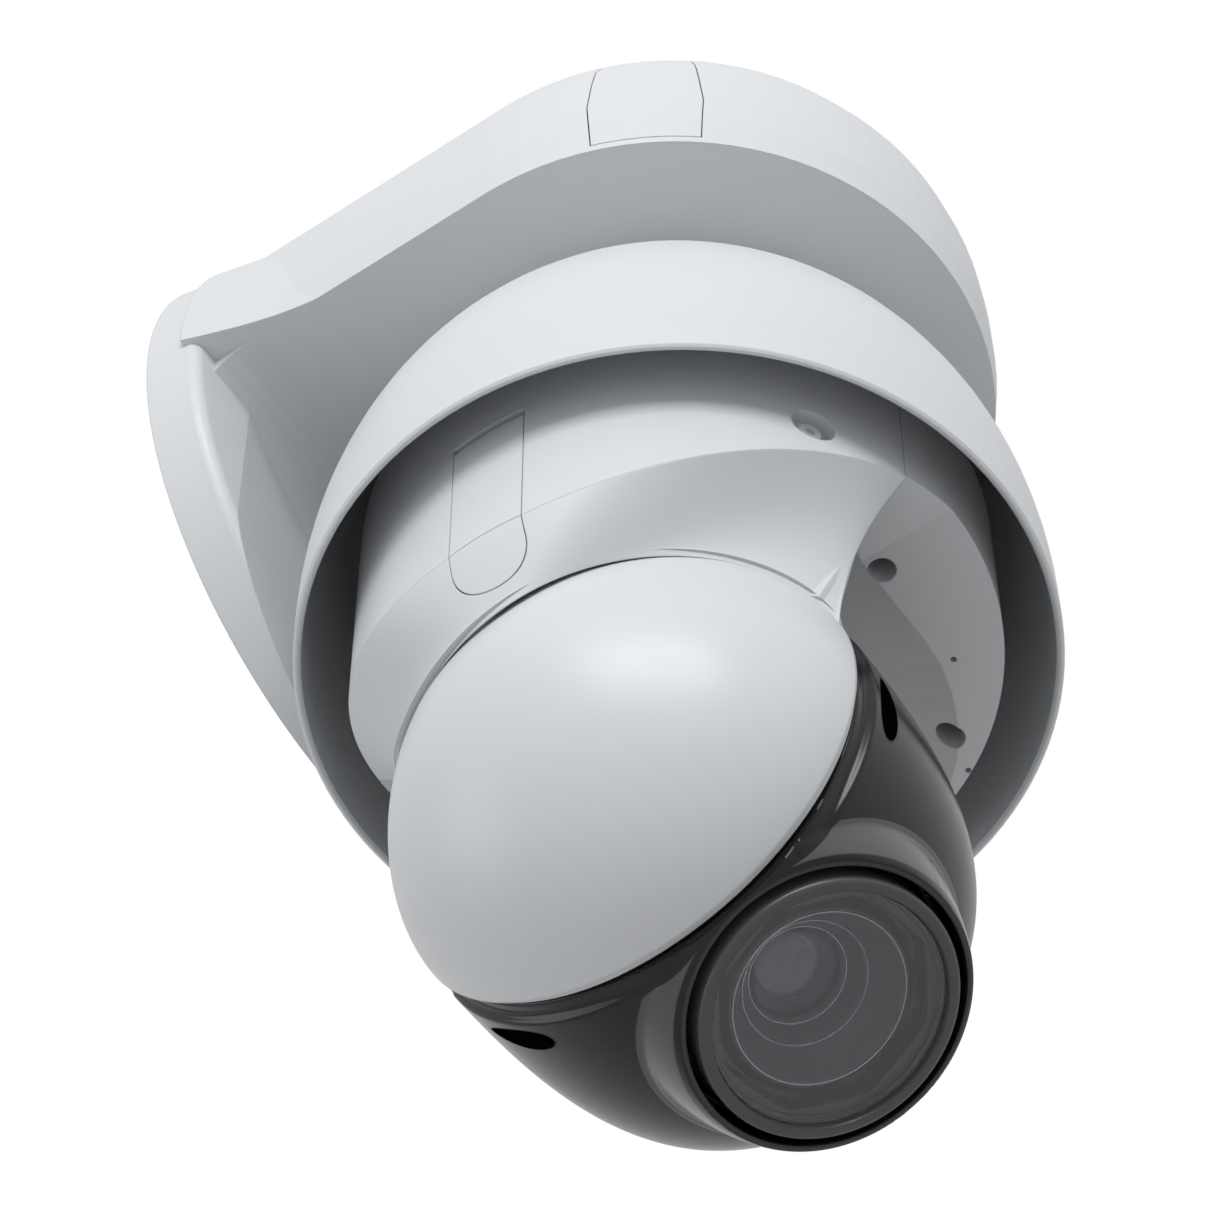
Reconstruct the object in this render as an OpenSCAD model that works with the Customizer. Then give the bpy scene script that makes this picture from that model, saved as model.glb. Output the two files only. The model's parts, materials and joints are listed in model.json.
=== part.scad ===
// Outdoor pan-tilt-zoom camera: wall bracket, weather hood, panning housing with one arm, tilting head.
// The model is built with the pan axis on Z and the hood rim at z = 0, then placed with the wall at x = 0.

/* [Wall bracket] */
// Distance from the wall to the pan axis
wall_gap = 113; // [108:1:125]
// Radius of the round wall flange
flange_r = 107.3; // [106:0.1:112]
// Depth of the flange rim
flange_t = 16; // [14:1:20]
// Height of the flange centre above the hood rim
flange_z = 132; // [130:1:136]
// Half width of the arm at its lower edge
arm_w = 95.3; // [92:0.1:98]
// Height of the arm's flat underside above the hood rim
arm_z = 126.5; // [126:0.5:128]
// Height of the arm's top above the hood rim
arm_top = 219; // [212:1:225]
// Wall thickness of the cast bracket
bracket_wall = 3.5; // [3:0.5:5]
// Spacing of the wall bolts, both ways
bolt_spacing = 120; // [100:1:124]
// Radius of the wall bolt holes
bolt_hole_r = 4.25; // [3:0.25:5]
// Radius of the cable hole in the wall plate
cable_hole_r = 20; // [12:1:24]

/* [Weather hood] */
// Outer radius of the hood rim
hood_r = 105.2; // [104:0.1:108]
// Height of the dome above its own equator
hood_h = 131; // [129:0.5:133]
// Height of the equator above the rim
hood_z = 8.2; // [5:0.1:10]
// Wall thickness of the hood
hood_wall = 2.2; // [1.8:0.1:2.6]
// Radius of the opening at the hood's crown
crown_r = 44.3; // [44.2:0.1:45]

/* [Panning housing] */
// Outer radius of the drum
drum_r = 89; // [86:0.5:90]
// Height of the drum's top edge above the hood rim
drum_top = 50; // [48:1:51]
// Wall thickness of the moulded shells
shell = 2.5; // [2:0.1:3]
// Plane where the arm shell meets the rear shell
part_y = -20; // [-21:0.5:-19]
// Radius of the hollow arc that slopes the underside towards the arm
scoop_r = 280; // [260:5:300]
// Radius of the head's hollow about the tilt axis
cavity_r = 101; // [95:1:103]

/* [Tilting head] */
// Height of the tilt axis above the hood rim (below it, so negative)
tilt_z = -78.2; // [-80:0.1:-77]
// Radius of the head about the tilt axis
head_r = 68.6; // [66:0.1:70]
// Length of the head's rounded end
head_len = 95.5; // [90:0.5:98]
// Depth of the arm's domed cap
dome_h = 59; // [55:0.5:62]
// Side offset of the lens from the pan axis
lens_y = 20.5; // [20:0.5:22]
// Angle of the lens below the horizon at rest
lens_dip = 65.5; // [60:0.5:70]
// Distance from the tilt axis to the front of the window bezel
lens_reach = 71.4; // [70:0.1:74]
// Outer radius of the window bezel
bezel_r = 35; // [34:0.1:35]

/* [Hidden] */
$fn = 96;
eps = 0.01;
far = 300;

hood_n = 2.09;                 // exponent of the hood's profile
dome_n = 1.75;                 // exponent of the cap's profile
head_n = 2.92;                 // exponent of the head's profile
arm_n = 3;                     // exponent of the arm's section
arm_bulge = 1.3;               // how far the arm's side swells above its lower edge
arm_side = 13;                 // height over which it swells
floor_t = 9;                   // thickness of the arm's floor
recess_r = 62.5;                // round recess in the arm's underside
recess_d = 6;
neck_r = 44;                   // outer radius of the neck
neck_hole_r = 46;              // opening in the arm's floor
head_y = -19.4;                // near end of the head
cap_y = -22.4;                 // edge plane of the domed cap
band_y = -14.5;                // where the recessed band beside the cap ends
band_d = 3;                    // how far the band lies below the head's surface
shroud_r = 37.4;               // inner edge of the window shroud
shroud_front = 69.7;           // its front, measured from the tilt axis
shroud_foot = 52;              // where its flank becomes straight
shroud_slope = 0.42;
pocket_w = 60.5;               // screw pockets: across the lens, and along the tilt axis
pocket_y = -10.5;
scoop_y = 78;                  // top of that arc
scoop_z = 14.3;
flat_z = 3;                    // height of the flat part of the underside
fit = 0.05;                    // radial clearance of a running fit
gap = 0.3;                     // clearance between covers and their openings

gear_m = 1.5;                  // module of the pan gears
gear_n = 54;                   // teeth of the fixed pan gear
pinion_n = 15;                 // teeth of both pinions
pan_centres = gear_m * (gear_n + pinion_n) / 2;
tilt_m = 1;                    // module of the tilt gears
tilt_n = 45;                   // teeth of the tilt gear
tilt_centres = tilt_m * (tilt_n + pinion_n) / 2;

neck_screw_r = 57;             // pitch radius of the neck screws
hood_screw_r = 48;             // pitch radius of the hood screws
rear_screws = [[63, 5], [48, 63], [-48, 63], [-63, 5]];
side_screws = [-32, -148];     // directions of the arm shell's screws
cover_w = 11.6;                // half width of the service cover
slot_h = 3;                    // height of the grip slot along its top
cover_top = 11;                // top of the service cover
hinge_y = -61;                 // inner end of the service cover, where it hinges
service_y = -62;               // face of the board behind the service cover
dish_r = 300;                  // hollow of the flange's front, round the hood
dish_x = -107.4;
fillet_r = 26;                 // fillet between that hollow and the arm's underside
plate_t = 3;                   // thickness of the wall plate
lug_turn = 45;                 // direction of the set screw from straight down

// ---- shared shapes ----

function superellipse(v, n) = pow(max(0, 1 - pow(v, n)), 1 / n);

// Puts the wall at x = 0 and the flange centre at z = 0
module place() {
    translate([wall_gap, 0, -flange_z]) children();
}

// Local +Z runs along the tilt axis towards +Y, from the middle of the head
module on_tilt() {
    translate([0, 0, tilt_z]) rotate([-90, 0, 0]) children();
}

// Local +Z runs along the lens axis, -X is the head's upward side when it looks level
module on_lens() {
    translate([0, lens_y, tilt_z]) rotate([0, 90 + lens_dip, 0]) children();
}

module tube(r_out, r_in, h) {
    difference() {
        cylinder(r = r_out, h = h);
        translate([0, 0, -1]) cylinder(r = r_in, h = h + 2);
    }
}

// Everything with y above (side = 1) or below (side = -1) a plane
module half_y(y, side) {
    translate([-far, side > 0 ? y : y - 2 * far, -far]) cube([2 * far, 2 * far, 2 * far]);
}

// Outline of a spur gear with involute flanks; a tooth points along +X
function inv_angle(r, rb) = let (c = rb / r, a = acos(min(1, c))) tan(a) * 180 / PI - a;
module gear_2d(teeth, m, slack = 0.12) {
    rp = m * teeth / 2;
    rb = rp * cos(20);
    ra = rp + 0.95 * m;
    rf = rp - 1.2 * m;
    half = 90 / teeth - slack / rp * 90 / PI + inv_angle(rp, rb);
    r_start = max(rb, rf);
    steps = 4;
    flank = [for (i = [0:steps]) let (r = r_start + (ra - r_start) * i / steps)
        [r, half - inv_angle(r, rb)]];
    tooth = concat([[rf, flank[0][1]]], flank);
    polygon([for (k = [0:teeth - 1]) each concat(
        [for (i = [0:len(tooth) - 1]) let (p = tooth[i], a = k * 360 / teeth - p[1])
            [p[0] * cos(a), p[0] * sin(a)]],
        [for (i = [len(tooth) - 1:-1:0]) let (p = tooth[i], a = k * 360 / teeth + p[1])
            [p[0] * cos(a), p[0] * sin(a)]])]);
}

// Pan-head screw that points down from z = 0
module screw(head_r, head_h, shank_r, length) {
    difference() {
        cylinder(r = head_r, h = head_h);
        translate([0, 0, head_h / 2]) cylinder(r = head_r * 0.42, h = head_h, $fn = 6);
    }
    translate([0, 0, -length]) cylinder(r = shank_r, h = length + eps);
}

// ---- wall bracket ----

// Arm: slices with straight sides and a round nose, swelling a little and then closing over the top
module arm_form(inset, z_low) {
    top_h = arm_top - arm_z - arm_side;
    full_w = arm_w + arm_bulge;
    hull() {
        arm_slice(arm_w - inset + (z_low > arm_z ? arm_bulge / 2 : 0), z_low);
        for (i = [0:9]) {
            q = sin(i * 9.6);
            w = full_w * superellipse(q, arm_n) - inset;
            arm_slice(max(w, 6), arm_z + arm_side + q * top_h - inset * q);
        }
    }
}

module arm_slice(w, z) {
    translate([0, 0, z]) linear_extrude(0.05) {
        circle(r = w);
        translate([2 - wall_gap, -w]) square([wall_gap, 2 * w]);
    }
}

module flange_disc() {
    edge = 4;
    translate([-wall_gap, 0, flange_z]) rotate([0, 90, 0]) rotate_extrude()
        polygon(concat([[0, 0], [flange_r, 0]],
            [for (a = [0:15:90]) [flange_r - 2.5 - edge + edge * cos(a), flange_t - edge + edge * sin(a)]],
            [[0, flange_t]]));
}

// Outline of the small side cover, seen along its own radius
module cover_outline(inset) {
    polygon([for (p = [[-16, 129], [16, 129], [17, 150], [15, 175], [12, 200]])
        [p[0] - sign(p[0]) * inset, p[1] + (p[1] < 130 ? inset : p[1] > 190 ? -inset : 0)],
        [-12 + inset, 200 - inset], [-15 + inset, 175], [-17 + inset, 150]]);
}

module cover_block(inset) {
    rotate([0, 0, -60 + 90]) translate([0, -45, 0]) rotate([90, 0, 0])
        linear_extrude(60) cover_outline(inset);
}

// Space under the arm: flat above, rounded down into the flange's hollow front
module under_arm() {
    intersection() {
        rotate([90, 0, 0]) linear_extrude(2 * far, center = true)
            polygon(concat([[dish_x, -far]],
                [for (a = [0:10:90]) [dish_x + fillet_r * (1 - cos(a)), arm_z - fillet_r * (1 - sin(a))]],
                [[0, arm_z], [0, -far]]));
        union() {
            translate([dish_x + dish_r, 0, -far]) cylinder(r = dish_r, h = 2 * far, $fn = 360);
            translate([flange_t - wall_gap, -far, -far]) cube([far, 2 * far, 2 * far]);
        }
    }
}

// Local origin in the middle of the flange's back, with -Z towards the set screw
module at_lug() {
    translate([-wall_gap, 0, flange_z]) rotate([lug_turn, 0, 0]) children();
}

module wall_bracket() {
    pocket_t = plate_t + 0.2;
    color("gainsboro") difference() {
        union() {
            arm_form(0, arm_z);
            flange_disc();
            translate([flange_t - wall_gap, -arm_w, arm_z - fillet_r]) cube([fillet_r - 10, 2 * arm_w, fillet_r]);
        }
        under_arm();
        difference() {
            arm_form(bracket_wall, arm_z + floor_t);
            translate([-wall_gap - 1, -far, 0]) cube([1 + pocket_t, 2 * far, far]);
        }
        translate([-wall_gap - 1, 0, flange_z]) rotate([0, 90, 0])
            cylinder(r = flange_r - 8, h = 1 + pocket_t + eps);
        for (y = [-1, 1])
            translate([-wall_gap, y * bolt_spacing / 2, flange_z - bolt_spacing / 2]) rotate([0, 90, 0])
                cylinder(r = 9, h = 8.4);
        at_lug() {
            translate([0, -7.6, 8.4 - flange_r]) cube([9.4, 15.2, 9.2]);
            translate([6, 0, -flange_r - 1]) cylinder(r = 2.6, h = 12);
        }
        translate([0, 0, arm_z - 1]) cylinder(r = recess_r, h = recess_d + 1);
        translate([0, 0, arm_z]) cylinder(r = neck_hole_r, h = floor_t + 1);
        for (a = [45:90:315])
            rotate([0, 0, a]) translate([neck_screw_r, 0, arm_z]) cylinder(r = 2.75, h = floor_t + 1);
        cover_block(0);
    }
}

module wall_plate() {
    color("silver") difference() {
        union() {
            translate([-wall_gap, 0, flange_z]) rotate([0, 90, 0]) cylinder(r = flange_r - 8.4, h = plate_t);
            at_lug() translate([0, -7, 9 - flange_r]) cube([9, 14, 8]);
        }
        translate([-wall_gap - 1, 0, flange_z]) rotate([0, 90, 0]) cylinder(r = cable_hole_r, h = plate_t + 2);
        for (y = [-1, 1], z = [-1, 1])
            translate([-wall_gap - 1, y * bolt_spacing / 2, flange_z + z * bolt_spacing / 2])
                rotate([0, 90, 0]) cylinder(r = bolt_hole_r, h = plate_t + 2);
        at_lug() translate([6, 0, -flange_r]) cylinder(r = 2.6, h = 20);
    }
}

module bracket_set_screw() {
    color("dimgray") at_lug() translate([6, 0, 1.5 - flange_r]) difference() {
        cylinder(r = 2.5, h = 15);
        translate([0, 0, -eps]) cylinder(r = 1.4, h = 3, $fn = 6);
    }
}

module side_cover() {
    color("gainsboro") intersection() {
        difference() {
            arm_form(0, arm_z);
            arm_form(bracket_wall, arm_z + floor_t);
        }
        difference() {
            cover_block(gap);
            translate([0, 0, arm_z]) cylinder(r = recess_r + 14, h = floor_t + 1);
        }
    }
}

// ---- neck and fixed base ----

module neck_screws() {
    color("silver") for (a = [45:90:315])
        rotate([0, 0, a]) translate([neck_screw_r, 0, arm_z + floor_t + eps]) screw(4.5, 4, 2.5, 6.2);
}

module neck_gasket() {
    color("dimgray") translate([0, 0, arm_z + 5]) difference() {
        tube(recess_r - 1, neck_screw_r - 9, 0.95);
        for (a = [45:90:315])
            rotate([0, 0, a]) translate([neck_screw_r, 0, -1]) cylinder(r = 3, h = 3);
    }
}

module base_neck() {
    lid = 3;
    color("darkgray") difference() {
        union() {
            translate([0, 0, 100.3]) tube(neck_r, neck_r - 4, arm_z + 4.9 - 100.3);
            translate([0, 0, arm_z + 2.4]) tube(recess_r - 1, neck_r - 1, 2.5);
            translate([0, 0, arm_z - 4]) cylinder(r = neck_r - 3, h = lid);
        }
        for (a = [45:90:315])
            rotate([0, 0, a]) translate([neck_screw_r, 0, arm_z]) cylinder(r = 2.6, h = 12);
        translate([0, 0, arm_z - 5]) cylinder(r = 9, h = lid + 2);
    }
}

module cable_gland() {
    bore = 3.2;
    color("dimgray") translate([0, 0, arm_z - 9]) rotate_extrude()
        polygon([[bore, 0], [12, 0], [12, 4.9], [8.9, 4.9], [8.9, 8.1], [12, 8.1], [12, 13], [8, 19], [bore, 19]]);
}

// Outline of the hood: its outside, then its inside
module hood_profile() {
    rows = 20;
    h_in = hood_h - hood_wall;
    r_in = hood_r - hood_wall;
    a_out = acos(pow(crown_r / hood_r, hood_n / 2));
    a_in = acos(pow(crown_r / r_in, hood_n / 2));
    lip = hood_wall * 0.35;
    polygon(concat(
        [[hood_r - lip, 0], [hood_r, lip]],
        [for (i = [0:rows]) let (a = a_out * i / rows)
            [hood_r * pow(cos(a), 2 / hood_n), hood_z + hood_h * pow(sin(a), 2 / hood_n)]],
        [for (i = [rows:-1:0]) let (a = a_in * i / rows)
            [r_in * pow(cos(a), 2 / hood_n), hood_z + h_in * pow(sin(a), 2 / hood_n)]],
        [[r_in, lip], [r_in + lip, 0]]));
}

module weather_hood() {
    color("gainsboro") difference() {
        rotate_extrude($fn = 120) hood_profile();
        for (a = [30:120:270])
            rotate([0, 0, a]) translate([hood_screw_r, 0, arm_z - 8]) cylinder(r = 2.1, h = 12);
    }
}

module hood_collar() {
    color("dimgray") difference() {
        rotate_extrude() polygon([[neck_r + 0.1, 117], [53, 117], [53, 120.3], [neck_r + 0.1, 123.2]]);
        for (a = [30:120:270])
            rotate([0, 0, a]) translate([hood_screw_r, 0, 110]) cylinder(r = 2.1, h = 20);
    }
}

module hood_screws() {
    color("silver") for (a = [30:120:270])
        rotate([0, 0, a]) translate([hood_screw_r, 0, 117 - eps]) rotate([180, 0, 0]) screw(3.6, 3, 2, 7.5);
}

module base_chassis() {
    color("darkgray") rotate_extrude() polygon([[30, 62], [80, 62], [80, 84], [72, 94.5], [neck_r, 100.2],
        [neck_r - 4, 100.2], [neck_r - 4, 97], [70, 91.5], [77, 82.5], [77, 66], [30, 66]]);
}

module main_board() {
    t = 1.6;
    color("darkgreen") translate([0, 0, 80]) {
        tube(66, 14, t);
        translate([-50, -14, t]) cube([22, 28, 3]);
        translate([-12, 26, t]) cube([24, 24, 4]);
        for (a = [230:20:310]) rotate([0, 0, a]) translate([46, 0, t]) cylinder(r = 4, h = 7);
    }
}

module network_socket() {
    color("silver") difference() {
        translate([20, -8, 81.6]) cube([16, 16, 14]);
        translate([21.5, -5.9, 84]) cube([8.2, 11.8, 20]);
    }
}

module pan_ring_gear() {
    color("gold") translate([0, 0, 55.5]) difference() {
        linear_extrude(6.4) gear_2d(gear_n, gear_m);
        translate([0, 0, -1]) cylinder(r = 32, h = 9);
    }
}

module pan_bearing_outer() {
    color("silver") translate([0, 0, 61]) tube(29.98, 23 + fit, 8);
}

module slip_ring_stator() {
    color("dimgray") rotate_extrude() polygon([[8.4, 72.5], [31, 72.5], [31, 66.1], [34, 66.1],
        [34, 75], [12, 75], [12, 91], [8.4, 91]]);
}

// ---- panning parts ----

module pan_hub() {
    color("darkgray") difference() {
        union() {
            translate([0, 0, drum_top]) cylinder(r = drum_r - 1.5, h = 3.5);
            translate([0, 0, drum_top]) cylinder(r = 18, h = 20.5);
        }
        translate([0, 0, drum_top - 1]) cylinder(r = 13, h = 30);
        translate([0, pan_centres, drum_top - 1]) cylinder(r = 4, h = 6);
        for (p = rear_screws) translate([p[0], p[1], drum_top - 1]) cylinder(r = 1.8, h = 6);
    }
}

module pan_bearing_inner() {
    color("silver") translate([0, 0, 61]) tube(23, 18.02, 8);
}

module slip_ring_rotor() {
    color("gold") {
        translate([0, 0, 46]) cylinder(r = 8, h = 43);
        translate([0, 0, 55]) cylinder(r = 12.9, h = 8);
    }
}

// Solid drum above its hollow underside, less the head's hollow
module drum_form(inset) {
    difference() {
        translate([0, 0, -60]) cylinder(r = drum_r - inset, h = 60 + drum_top + (inset > 0 ? 1 : 0), $fn = 120);
        intersection() {
            translate([-far / 2, scoop_y, scoop_z - scoop_r]) rotate([0, 90, 0])
                cylinder(r = scoop_r + inset, h = far, $fn = 240);
            translate([-far / 2, -far / 2, flat_z - far + inset]) cube([far, far, far]);
        }
    }
}

// The hollow that the head turns in, a body of revolution about the tilt axis
module cavity(inset) {
    bend_y = 30;
    spread = 200;
    y_end = 120;
    on_tilt() rotate_extrude($fn = 180) polygon(concat([[0, part_y - 5], [cavity_r + inset, part_y - 5]],
        [for (y = [bend_y:10:y_end]) [cavity_r + inset - (y - bend_y) * (y - bend_y) / spread, y]],
        [[0, y_end]]));
}

module rear_housing() {
    boss_r = 6.2;
    color("gainsboro") difference() {
        union() {
            difference() {
                intersection() {
                    drum_form(0);
                    half_y(part_y, 1);
                }
                cavity(0);
                difference() {
                    drum_form(shell);
                    cavity(shell);
                }
            }
            difference() {
                for (p = rear_screws) translate([p[0], p[1], flat_z]) cylinder(r = boss_r, h = drum_top - flat_z);
                cavity(0);
            }
        }
        for (p = rear_screws) translate([p[0], p[1], -5]) {
            cylinder(r = 4, h = 35);
            cylinder(r = 1.8, h = 70);
        }
        for (p = [[62.9, 40.9], [45.9, 75.1]]) translate([p[0], p[1], -5]) cylinder(r = 0.9, h = 12);
    }
}

module rear_screws() {
    color("dimgray") for (p = rear_screws)
        translate([p[0], p[1], 30 - eps]) rotate([180, 0, 0]) screw(3.4, 2.6, 1.6, 23);
}

// Outline of the arm in the plane of the tilt disc, from the drum down to the disc
module arm_outline(inset) {
    polygon([[-84.7 + inset, 12], [-84.7 + inset, -3], [-71.5 + inset, -18.5], [-62.5 + inset, -48.6],
        [62.5 - inset, -48.6], [71.5 - inset, -18.5], [84.7 - inset, -3], [84.7 - inset, 12]]);
}

// Neck of the arm: the outline, rounded off on its outer side
module neck_form(inset) {
    round_r = 94.8;
    round_y = 42.8;
    intersection() {
        translate([0, part_y - (inset > 0 ? shell : 0), 0]) rotate([90, 0, 0])
            linear_extrude(60) arm_outline(inset);
        translate([0, round_y, -80]) cylinder(r = round_r - inset, h = 140, $fn = 120);
    }
}

module dome_profile(inset) {
    rows = 20;
    polygon(concat([[0, 0]], [for (i = [0:rows]) let (v = sin(i * 90 / rows))
        [(head_r - inset) * superellipse(v, dome_n), -(dome_h - inset) * v]]));
}

module dome_form(inset) {
    on_tilt() translate([0, 0, cap_y]) rotate_extrude($fn = 120) dome_profile(inset);
}

module arm_housing() {
    hub_r = 17;
    color("gainsboro") difference() {
        union() {
            difference() {
                union() {
                    intersection() {
                        drum_form(0);
                        half_y(part_y - gap, -1);
                    }
                    neck_form(0);
                }
                difference() {
                    drum_form(shell);
                    half_y(part_y - shell, 1);
                    cavity(shell);
                }
                neck_form(shell);
                dome_form(-0.2);
            }
            on_tilt() translate([0, 0, cap_y + 0.1]) cylinder(r = head_r - 2, h = part_y - cap_y - 0.1);
            on_tilt() translate([0, 0, part_y - 14]) cylinder(r = hub_r, h = 12);
            intersection() {
                for (a = side_screws)
                    rotate([0, 0, a]) translate([drum_r - 7.5, 0, -2.5]) rotate([0, 90, 0]) cylinder(r = 9, h = 9);
                drum_form(1);
            }
        }
        on_tilt() translate([0, 0, part_y - 20]) cylinder(r = 13, h = 17.5);
        on_tilt() translate([0, 0, part_y - 30]) cylinder(r = 9, h = 40);
        for (a = side_screws) rotate([0, 0, a]) translate([drum_r - 4.2, 0, -2.5]) rotate([0, 90, 0]) {
            cylinder(r = 6.3, h = 20);
            translate([0, 0, -12]) cylinder(r = 1.8, h = 14);
        }
        bay_form(0);
    }
}

module dome_cap() {
    color("whitesmoke") difference() {
        dome_form(0);
        dome_form(shell);
    }
}

module arm_screws() {
    color("dimgray") for (a = side_screws)
        rotate([0, 0, a]) translate([drum_r - 4.2 + eps, 0, -2.5]) rotate([0, 90, 0]) screw(3.4, 2, 1.6, 9);
}

module pan_motor() {
    color("dimgray") difference() {
        union() {
            translate([0, pan_centres, 28]) cylinder(r = 15, h = drum_top - 28 - 0.05);
            translate([0, pan_centres, 25.5]) cylinder(r = 6, h = 3);
        }
        translate([0, pan_centres, 40]) cylinder(r = 2 + fit, h = 12);
    }
}

module pan_pinion() {
    color("gold") translate([0, pan_centres, 0]) {
        translate([0, 0, 55.7]) linear_extrude(5.6) rotate([0, 0, -90]) gear_2d(pinion_n, gear_m);
        translate([0, 0, 41]) cylinder(r = 2, h = 20);
    }
}

module tilt_bearing() {
    color("silver") on_tilt() translate([0, 0, part_y - 13.5]) tube(12.98, 7 + fit, 9);
}

module tilt_motor() {
    color("dimgray") on_tilt() translate([tilt_centres, 0, 0]) difference() {
        union() {
            translate([0, 0, cap_y - 14]) cylinder(r = 12, h = 14);
            translate([-4, -15, cap_y - 2.5]) cube([8, 30, 2.5]);
        }
        translate([0, 0, cap_y - 15]) cylinder(r = 1.5 + fit, h = 10);
    }
}

module tilt_pinion() {
    color("gold") on_tilt() translate([tilt_centres, 0, 0]) {
        translate([0, 0, -46]) linear_extrude(5.4) rotate([0, 0, 180 / pinion_n + 180]) gear_2d(pinion_n, tilt_m);
        translate([0, 0, -46]) cylinder(r = 1.5, h = 17);
    }
}

module control_board() {
    color("darkgreen") translate([-34, 8, 32]) {
        translate([-21, -26, 0]) cube([42, 52, 1.6]);
        translate([-10, -10, 1.6]) cube([20, 20, 3]);
        translate([-18, 15, 1.6]) cube([14, 8, 5]);
    }
}

// Service bay: a card socket and a reset switch face the cover
module service_board() {
    color("darkgreen") translate([-10, service_y, -17]) cube([20, 1.6, 25]);
    color("silver") difference() {
        translate([-7.5, service_y - 13.5, -12.5]) cube([15, 13.6, 3.2]);
        translate([-5.7, service_y - 14, -11.6]) cube([11.4, 13, 1.3]);
    }
    color("dimgray") difference() {
        translate([-3, service_y - 3.5, -1]) cube([6, 3.6, 6]);
        translate([0, service_y - 0.6, 2]) rotate([90, 0, 0]) cylinder(r = 1.9, h = 4);
    }
}

module memory_card() {
    color("black") translate([-5.5, service_y - 16.4, -11.45]) cube([11, 14.8, 1]);
}

module reset_button() {
    color("dimgray") translate([0, service_y - 1.6, 2]) rotate([90, 0, 0]) cylinder(r = 1.6, h = 4);
}

module service_cover() {
    color("gainsboro") intersection() {
        difference() {
            drum_form(0);
            drum_form(shell);
        }
        bay_form(gap);
        translate([-far, -far, -far]) cube([2 * far, 2 * far, far + cover_top - slot_h]);
    }
}

// Opening for the service cover: straight sides and a round inner end
module bay_form(inset) {
    w = cover_w - inset;
    translate([0, 0, -80]) linear_extrude(80 + cover_top - inset) {
        translate([-w, -drum_r - 5]) square([2 * w, drum_r + 5 + hinge_y - cover_w]);
        translate([0, hinge_y - cover_w]) circle(r = w);
    }
}

// ---- tilting head ----

// Egg-shaped body about the tilt axis, with a shallow band turned into it beside the cap
module head_form(inset) {
    rows = 20;
    band_r = head_r - inset - band_d;
    on_tilt() rotate_extrude($fn = 120) polygon(concat(
        [[0, head_y + inset], [band_r, head_y + inset], [band_r, band_y + inset]],
        [for (i = [1:rows]) let (v = sin(i * 90 / rows), y = head_y + (head_len - inset) * v)
            if (y > band_y + inset) [(head_r - inset) * superellipse(v, head_n), y]]));
}

// Conical collar round the lens
module shroud_form(inset, low) {
    foot_r = shroud_r + (shroud_front - shroud_foot) * shroud_slope - inset;
    on_lens() rotate_extrude() polygon([[0, low], [foot_r, low], [foot_r, shroud_foot],
        [shroud_r + 1.2 - inset, shroud_front - 1.6], [shroud_r - inset * 0.5, shroud_front - inset * 0.6],
        [0, shroud_front - inset * 0.6]]);
}

module lens_cylinder(r, low, high) {
    on_lens() translate([0, 0, low]) cylinder(r = r, h = high - low);
}

// Sickle-shaped window: the collar's flank, cut off beside the cap
module ir_window() {
    color("#3a3b3e") difference() {
        shroud_form(0, shroud_foot - 6);
        shroud_form(1.6, 0);
        lens_cylinder(shroud_r, 0, 90);
        half_y(band_y + 0.3, -1);
        head_form(-0.05);
    }
}

module screw_pockets(r, low) {
    for (w = [-pocket_w, pocket_w])
        on_lens() translate([w, pocket_y - lens_y, low]) cylinder(r = r, h = 60);
}

module head_front() {
    low = 44;
    color("#1c1d1f") difference() {
        union() {
            difference() {
                head_form(0);
                head_form(shell);
            }
            difference() {
                intersection() {
                    shroud_form(0, low);
                    half_y(head_y, 1);
                }
                shroud_form(1.7, low + 2);
            }
            lens_cylinder(shroud_r, low, shroud_front - 1.5);
            difference() {
                intersection() {
                    screw_pockets(5.5, 8);
                    head_form(1);
                }
                on_lens() translate([-far, -far, -far]) cube([2 * far, 2 * far, far + 0.1]);
            }
        }
        on_lens() translate([-far, -far, -2 * far]) cube([2 * far, 2 * far, 2 * far]);
        lens_cylinder(shroud_r - 2, 0, 90);
        difference() {
            shroud_form(-1, low + 2);
            lens_cylinder(shroud_r, 0, 90);
            half_y(band_y, -1);
            difference() {
                head_form(0);
                lens_cylinder(shroud_r + (shroud_front - shroud_foot) * shroud_slope - 1.7, 0, 90);
            }
        }
        screw_pockets(4.3, 22);
        screw_pockets(1.4, -5);
        on_tilt() translate([0, 0, head_y - 1]) cylinder(r = 7.2, h = 6);
    }
}

module head_rear() {
    color("#1c1d1f") difference() {
        union() {
            difference() {
                head_form(0);
                head_form(shell);
            }
            intersection() {
                on_lens() for (w = [-pocket_w, pocket_w])
                    translate([w, pocket_y - lens_y, -14]) cylinder(r = 4.5, h = 14);
                head_form(1);
            }
        }
        on_lens() translate([-far, -far, -0.2]) cube([2 * far, 2 * far, 2 * far]);
        screw_pockets(1.4, -12);
        on_tilt() translate([0, 0, head_y - 1]) cylinder(r = 7.2, h = 6);
    }
}

module head_screws() {
    color("dimgray") for (w = [-pocket_w, pocket_w])
        on_lens() translate([w, pocket_y - lens_y, 22 + eps]) screw(3.2, 2.4, 1.2, 32);
}

module tilt_shaft() {
    color("silver") on_tilt() difference() {
        union() {
            translate([0, 0, -52]) cylinder(r = 7, h = 52 + head_y + shell + 3);
            translate([0, 0, head_y + shell + 0.05]) cylinder(r = 14, h = 3);
        }
        translate([0, 0, -60]) cylinder(r = 4, h = 60);
    }
}

module tilt_gear() {
    color("gold") on_tilt() translate([0, 0, -45.8]) difference() {
        linear_extrude(5) gear_2d(tilt_n, tilt_m);
        translate([0, 0, -1]) cylinder(r = 7.02, h = 8);
    }
}

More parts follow.
